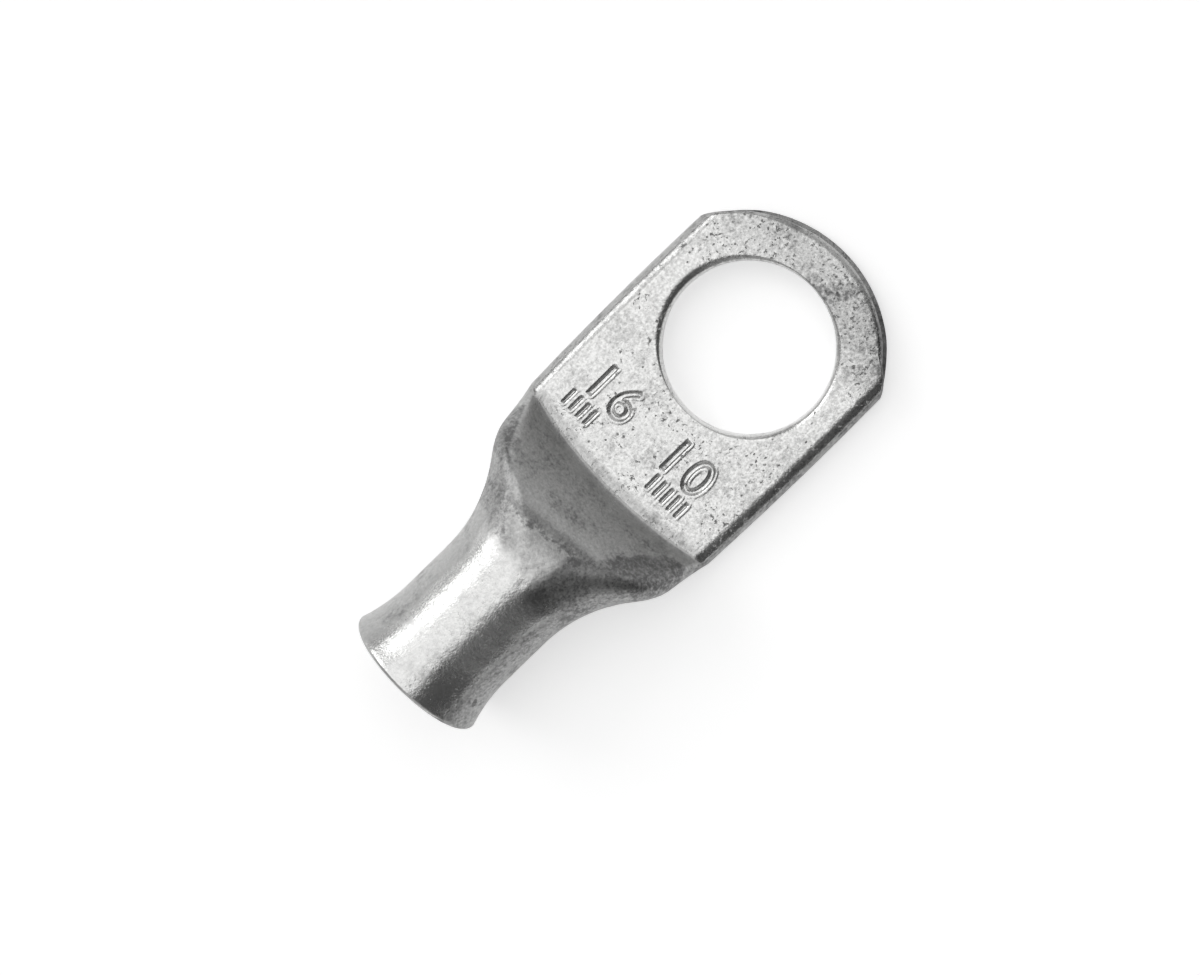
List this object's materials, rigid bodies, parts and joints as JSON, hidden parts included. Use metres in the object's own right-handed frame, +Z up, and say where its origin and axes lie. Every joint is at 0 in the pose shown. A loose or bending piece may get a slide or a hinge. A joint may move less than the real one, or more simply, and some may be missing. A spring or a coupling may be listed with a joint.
{
  "type": "cable lug",
  "caption": "Tinned copper ring cable lug pressed from tube: belled round barrel, sloped shoulder and flat round-ended palm with a stud hole.",
  "frame": {"origin": "on the stud hole's axis, at the palm's underside", "axes": "+X along the barrel towards the open end that takes the cable, +Z up out of the palm's top face"},
  "size_m": [0.0352, 0.0154, 0.0091],
  "materials": {
    "tinned_copper": "matte electro-tinned copper"
  },
  "bodies": {
    "root": {"cable_lug": "tinned_copper"}
  },
  "joints": []
}
